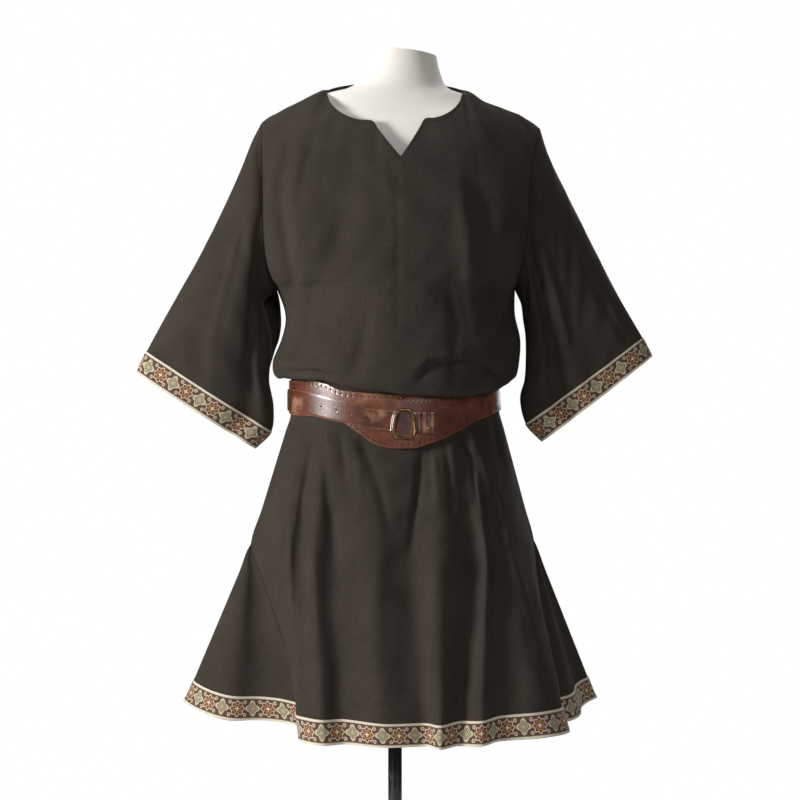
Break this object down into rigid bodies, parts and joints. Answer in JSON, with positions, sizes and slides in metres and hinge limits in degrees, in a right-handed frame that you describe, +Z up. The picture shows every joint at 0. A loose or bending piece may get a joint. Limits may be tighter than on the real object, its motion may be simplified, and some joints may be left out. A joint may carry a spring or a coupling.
{
  "type": "belted tunic on a dress form with a stand",
  "caption": "Wide-sleeved V-neck wool tunic with woven braid at cuffs and hem, gathered by a shaped leather ring belt, on a limbless dress form and pole stand.",
  "frame": {"origin": "centre of the stand base's underside, on the pole's axis", "axes": "+Z up, -Y to the wearer's front, +X to the viewer's right of the front"},
  "size_m": [0.8264, 0.4646, 1.511],
  "materials": {
    "cloth": "plain-woven charcoal wool, matt",
    "braid": "patterned woven braid, cream edges on brown",
    "leather": "waxed brown leather, glossy and worn",
    "brass": "antiqued brass",
    "form": "off-white stretch cover, matt",
    "metal": "gloss black"
  },
  "bodies": {
    "root": {"front": "cloth", "back": "cloth", "gore_left": "cloth", "gore_right": "cloth", "sleeve_left": "cloth", "sleeve_right": "cloth", "cuff_braid_left": "braid", "cuff_braid_right": "braid", "hem_braid_front": "braid", "hem_braid_back": "braid", "hem_braid_left": "braid", "hem_braid_right": "braid", "belt_band": "leather", "belt_tongue": "leather", "belt_tab": "leather", "belt_ring": "brass", "belt_rivet": "brass", "form_torso": "form", "stand_pole": "metal", "stand_base": "metal"}
  },
  "joints": []
}
